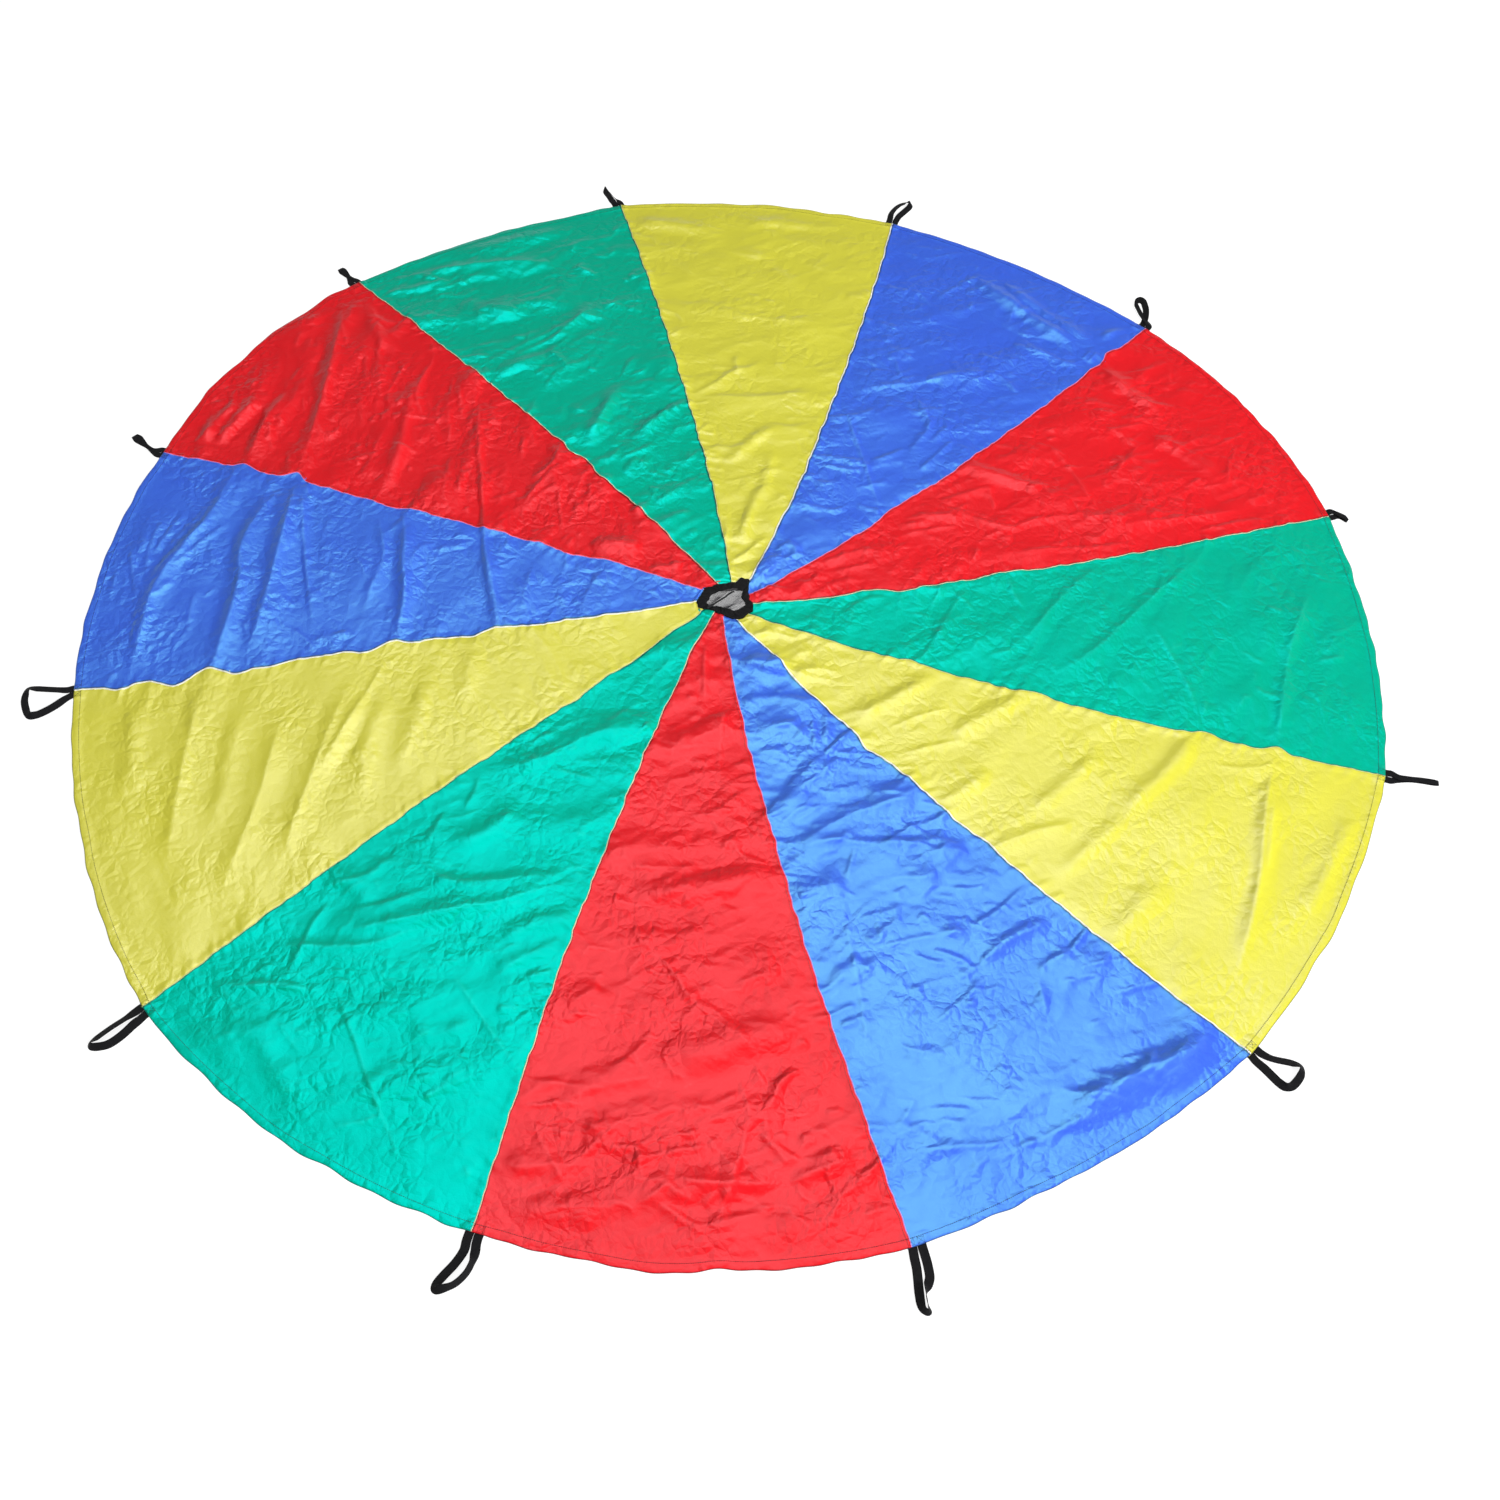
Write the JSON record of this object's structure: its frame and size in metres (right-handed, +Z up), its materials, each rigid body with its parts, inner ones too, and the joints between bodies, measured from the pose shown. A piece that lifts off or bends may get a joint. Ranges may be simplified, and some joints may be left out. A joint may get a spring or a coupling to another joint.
{
  "type": "play parachute",
  "caption": "Round play parachute of coloured cloth gores with webbing loop handles round the hem and a net over the vent.",
  "frame": {"origin": "on the ground under the middle of the spread canopy", "axes": "+Z up from the ground, +Y towards the far yellow gore's middle, +X to the right"},
  "size_m": [3.6088, 3.6148, 0.0244],
  "materials": {
    "cloth_yellow": "thin glossy taffeta",
    "cloth_blue": "thin glossy taffeta",
    "cloth_red": "thin glossy taffeta",
    "cloth_green": "thin glossy taffeta",
    "webbing": "matt woven webbing",
    "tape": "matt woven tape",
    "net": "thin matt thread"
  },
  "bodies": {
    "canopy": {"gore_01_yellow": "cloth_yellow", "gore_02_blue": "cloth_blue", "gore_03_red": "cloth_red", "gore_04_green": "cloth_green", "gore_05_yellow": "cloth_yellow", "gore_06_blue": "cloth_blue", "gore_07_red": "cloth_red", "gore_08_green": "cloth_green", "gore_09_yellow": "cloth_yellow", "gore_10_blue": "cloth_blue", "gore_11_red": "cloth_red", "gore_12_green": "cloth_green", "handle_01_end_left": "webbing", "handle_01_end_right": "webbing", "handle_02_end_left": "webbing", "handle_02_end_right": "webbing", "handle_03_end_left": "webbing", "handle_03_end_right": "webbing", "handle_04_end_left": "webbing", "handle_04_end_right": "webbing", "handle_05_end_left": "webbing", "handle_05_end_right": "webbing", "handle_06_end_left": "webbing", "handle_06_end_right": "webbing", "handle_07_end_left": "webbing", "handle_07_end_right": "webbing", "handle_08_end_left": "webbing", "handle_08_end_right": "webbing", "handle_09_end_left": "webbing", "handle_09_end_right": "webbing", "handle_10_end_left": "webbing", "handle_10_end_right": "webbing", "handle_11_end_left": "webbing", "handle_11_end_right": "webbing", "handle_12_end_left": "webbing", "handle_12_end_right": "webbing", "vent_net": "net", "vent_tape": "tape"},
    "handle_01": {"handle_01_loop": "webbing"},
    "handle_02": {"handle_02_loop": "webbing"},
    "handle_03": {"handle_03_loop": "webbing"},
    "handle_04": {"handle_04_loop": "webbing"},
    "handle_05": {"handle_05_loop": "webbing"},
    "handle_06": {"handle_06_loop": "webbing"},
    "handle_07": {"handle_07_loop": "webbing"},
    "handle_08": {"handle_08_loop": "webbing"},
    "handle_09": {"handle_09_loop": "webbing"},
    "handle_10": {"handle_10_loop": "webbing"},
    "handle_11": {"handle_11_loop": "webbing"},
    "handle_12": {"handle_12_loop": "webbing"}
  },
  "joints": [
    {"name": "handle_01_swing", "type": "hinge", "parent": "canopy", "child": "handle_01", "pos_m": [-0.46512, 1.71302, 0.0015], "axis": [0.9668, 0.2555, 0], "range_deg": [0, 115]},
    {"name": "handle_02_swing", "type": "hinge", "parent": "canopy", "child": "handle_02", "pos_m": [0.46175, 1.6885, 0.0015], "axis": [0.965, -0.2621, 0], "range_deg": [0, 115]},
    {"name": "handle_03_swing", "type": "hinge", "parent": "canopy", "child": "handle_03", "pos_m": [1.26377, 1.22139, 0.0015], "axis": [0.6908, -0.7231, 0], "range_deg": [0, 115]},
    {"name": "handle_04_swing", "type": "hinge", "parent": "canopy", "child": "handle_04", "pos_m": [1.70908, 0.43876, 0.0015], "axis": [0.25, -0.9683, 0], "range_deg": [0, 115]},
    {"name": "handle_05_swing", "type": "hinge", "parent": "canopy", "child": "handle_05", "pos_m": [1.68883, -0.4606, 0.0015], "axis": [-0.2588, -0.9659, 0], "range_deg": [0, 115]},
    {"name": "handle_06_swing", "type": "hinge", "parent": "canopy", "child": "handle_06", "pos_m": [1.23069, -1.22508, 0.0015], "axis": [-0.7055, -0.7087, 0], "range_deg": [0, 115]},
    {"name": "handle_07_swing", "type": "hinge", "parent": "canopy", "child": "handle_07", "pos_m": [0.46079, -1.6888, 0.0015], "axis": [-0.9665, -0.2566, 0], "range_deg": [0, 115]},
    {"name": "handle_08_swing", "type": "hinge", "parent": "canopy", "child": "handle_08", "pos_m": [-0.45495, -1.70484, 0.0015], "axis": [-0.9659, 0.2588, 0], "range_deg": [0, 115]},
    {"name": "handle_09_swing", "type": "hinge", "parent": "canopy", "child": "handle_09", "pos_m": [-1.26121, -1.25396, 0.0015], "axis": [-0.7039, 0.7103, 0], "range_deg": [0, 115]},
    {"name": "handle_10_swing", "type": "hinge", "parent": "canopy", "child": "handle_10", "pos_m": [-1.67626, -0.39644, 0.0015], "axis": [-0.2278, 0.9737, 0], "range_deg": [0, 115]},
    {"name": "handle_11_swing", "type": "hinge", "parent": "canopy", "child": "handle_11", "pos_m": [-1.67469, 0.45929, 0.0015], "axis": [0.2588, 0.9659, 0], "range_deg": [0, 115]},
    {"name": "handle_12_swing", "type": "hinge", "parent": "canopy", "child": "handle_12", "pos_m": [-1.2656, 1.24459, 0.0015], "axis": [0.7055, 0.7087, 0], "range_deg": [0, 115]}
  ]
}
